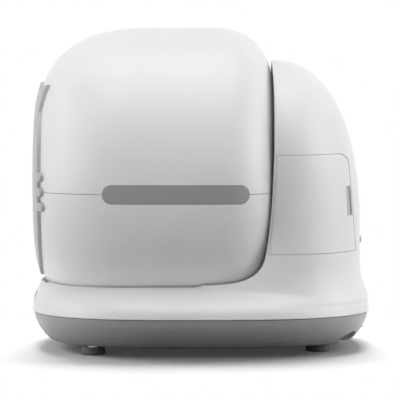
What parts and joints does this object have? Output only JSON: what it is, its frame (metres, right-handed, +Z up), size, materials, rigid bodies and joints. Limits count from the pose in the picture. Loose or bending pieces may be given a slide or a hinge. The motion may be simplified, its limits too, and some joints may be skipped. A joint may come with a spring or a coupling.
{
  "type": "self cleaning litter box",
  "caption": "Self-cleaning cat litter box: a round drum with a ringed entrance turns in a base whose rear tower holds a waste drawer that slides out sideways.",
  "frame": {"origin": "centre of the bounding box in plan, on the floor under the feet", "axes": "+X to the side the waste drawer slides out of, +Y to the rear tower, +Z up; the entrance faces -Y"},
  "size_m": [0.538, 0.584, 0.5521],
  "materials": {
    "white": "satin moulded, brilliant white",
    "light_grey": "satin moulded, light grey",
    "mid_grey": "satin moulded, mid grey",
    "pan_grey": "fine texture, grey",
    "inner_grey": "moulded, plain grey",
    "rubber": "matt black rubber",
    "black": "black",
    "smoked": "smoked acrylic, polished",
    "nylon": "natural nylon",
    "steel": "zinc plated",
    "board_green": "green solder resist"
  },
  "bodies": {
    "base": {"base_pan": "pan_grey", "body_shell": "white", "foot_front_left": "rubber", "foot_front_right": "rubber", "foot_rear_left": "rubber", "foot_rear_right": "rubber", "load_cell_front_left": "steel", "load_cell_front_right": "steel", "load_cell_rear_left": "steel", "load_cell_rear_right": "steel", "bulkhead": "inner_grey", "hub_bearing": "nylon", "motor_bracket": "steel", "drive_motor": "black", "waste_chute": "inner_grey", "bin_shelf": "inner_grey", "control_bezel": "black", "display_window": "smoked", "control_board": "board_green", "power_inlet": "black", "roller_bracket_left": "inner_grey", "roller_bracket_right": "inner_grey", "roller_axle_left": "steel", "roller_axle_right": "steel"},
    "drum": {"drum_upper_shell": "white", "drum_lower_shell": "white", "drum_rear_plate": "white", "ring_gear": "nylon", "drum_hub": "inner_grey", "hub_retainer": "steel", "entrance_ring": "light_grey", "litter_sieve": "light_grey"},
    "left_release": {"release_bar_left": "mid_grey"},
    "right_release": {"release_bar_right": "mid_grey"},
    "pinion": {"drive_pinion": "nylon"},
    "left_roller": {"roller_left": "rubber"},
    "right_roller": {"roller_right": "rubber"},
    "drawer": {"waste_bin": "inner_grey", "bag_frame": "mid_grey", "drawer_front": "white", "drawer_grip": "mid_grey"},
    "left_button": {"button_left": "light_grey"},
    "right_button": {"button_right": "light_grey"},
    "back_button": {"rear_button": "light_grey"}
  },
  "joints": [
    {"name": "drum_spin", "type": "hinge", "parent": "base", "child": "drum", "pos_m": [0, 0.1249, 0.2905], "axis": [0, 1, 0], "continuous": true},
    {"name": "pinion_spin", "type": "hinge", "parent": "base", "child": "pinion", "pos_m": [0, 0.1252, 0.12213], "axis": [0, 1, 0], "continuous": true},
    {"name": "roller_left_spin", "type": "hinge", "parent": "base", "child": "left_roller", "pos_m": [-0.17799, -0.09, 0.07838], "axis": [0, 1, 0], "continuous": true},
    {"name": "roller_right_spin", "type": "hinge", "parent": "base", "child": "right_roller", "pos_m": [0.17799, -0.09, 0.07838], "axis": [0, 1, 0], "continuous": true},
    {"name": "release_left_press", "type": "slide", "parent": "drum", "child": "left_release", "axis": [1, 0, 0], "range_m": [0, 0.003], "stiffness_N_per_m": 1500},
    {"name": "release_right_press", "type": "slide", "parent": "drum", "child": "right_release", "axis": [-1, 0, 0], "range_m": [0, 0.003], "stiffness_N_per_m": 1500},
    {"name": "drawer_slide", "type": "slide", "parent": "base", "child": "drawer", "axis": [1, 0, 0], "range_m": [0, 0.28]},
    {"name": "button_left_press", "type": "slide", "parent": "base", "child": "left_button", "axis": [0, 1, 0], "range_m": [0, 0.0012], "stiffness_N_per_m": 500},
    {"name": "button_right_press", "type": "slide", "parent": "base", "child": "right_button", "axis": [0, 1, 0], "range_m": [0, 0.0012], "stiffness_N_per_m": 500},
    {"name": "rear_button_press", "type": "slide", "parent": "base", "child": "back_button", "axis": [0, -1, 0], "range_m": [0, 0.0012], "stiffness_N_per_m": 500}
  ],
  "couplings": [
    {"joint": "pinion_spin", "follows": "drum_spin", "ratio": -5.6364},
    {"joint": "roller_left_spin", "follows": "drum_spin", "ratio": -17.44},
    {"joint": "roller_right_spin", "follows": "drum_spin", "ratio": -17.44}
  ]
}
